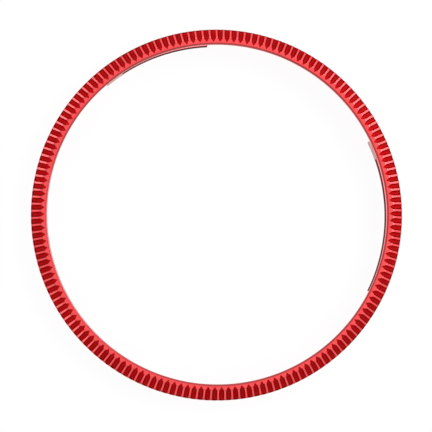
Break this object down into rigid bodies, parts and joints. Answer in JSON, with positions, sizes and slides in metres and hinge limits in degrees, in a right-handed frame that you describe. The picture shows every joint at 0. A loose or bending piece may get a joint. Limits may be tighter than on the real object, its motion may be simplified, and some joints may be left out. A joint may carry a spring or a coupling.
{
  "type": "fluted trim ring",
  "caption": "Slim metal trim ring with a fluted bevel that slips over a round knob or housing and is held from inside by adhesive strips with peel-off liners.",
  "frame": {"origin": "centre of the ring, on the plane of its flat back face", "axes": "+Z along the ring's axis, out of the fluted front; +X to the right and +Y up as the front is seen"},
  "size_m": [0.1002, 0.1002, 0.0088],
  "materials": {
    "anodised_aluminium": "red anodised, satin",
    "acrylic_tape": "cloudy clear acrylic, soft and tacky",
    "liner_film": "dark red polyethylene film, dull",
    "tab_film": "frosted grey film"
  },
  "bodies": {
    "ring": {"ring_body": "anodised_aluminium", "upper_adhesive_strip": "acrylic_tape", "right_adhesive_strip": "acrylic_tape", "lower_adhesive_strip": "acrylic_tape"},
    "upper_liner": {"upper_release_liner": "liner_film", "upper_pull_tab": "tab_film"},
    "right_liner": {"right_release_liner": "liner_film", "right_pull_tab": "tab_film"},
    "lower_liner": {"lower_release_liner": "liner_film", "lower_pull_tab": "tab_film"}
  },
  "joints": [
    {"name": "upper_liner_peel", "type": "hinge", "parent": "ring", "child": "upper_liner", "pos_m": [-0.00246, 0.0459, 0.0025], "axis": [0, 0, 1], "range_deg": [0, 70]},
    {"name": "right_liner_peel", "type": "hinge", "parent": "ring", "child": "right_liner", "pos_m": [0.04114, -0.02051, 0.0025], "axis": [0, 0, 1], "range_deg": [0, 70]},
    {"name": "lower_liner_peel", "type": "hinge", "parent": "ring", "child": "lower_liner", "pos_m": [-0.03965, -0.02327, 0.0025], "axis": [0, 0, 1], "range_deg": [0, 70]}
  ]
}
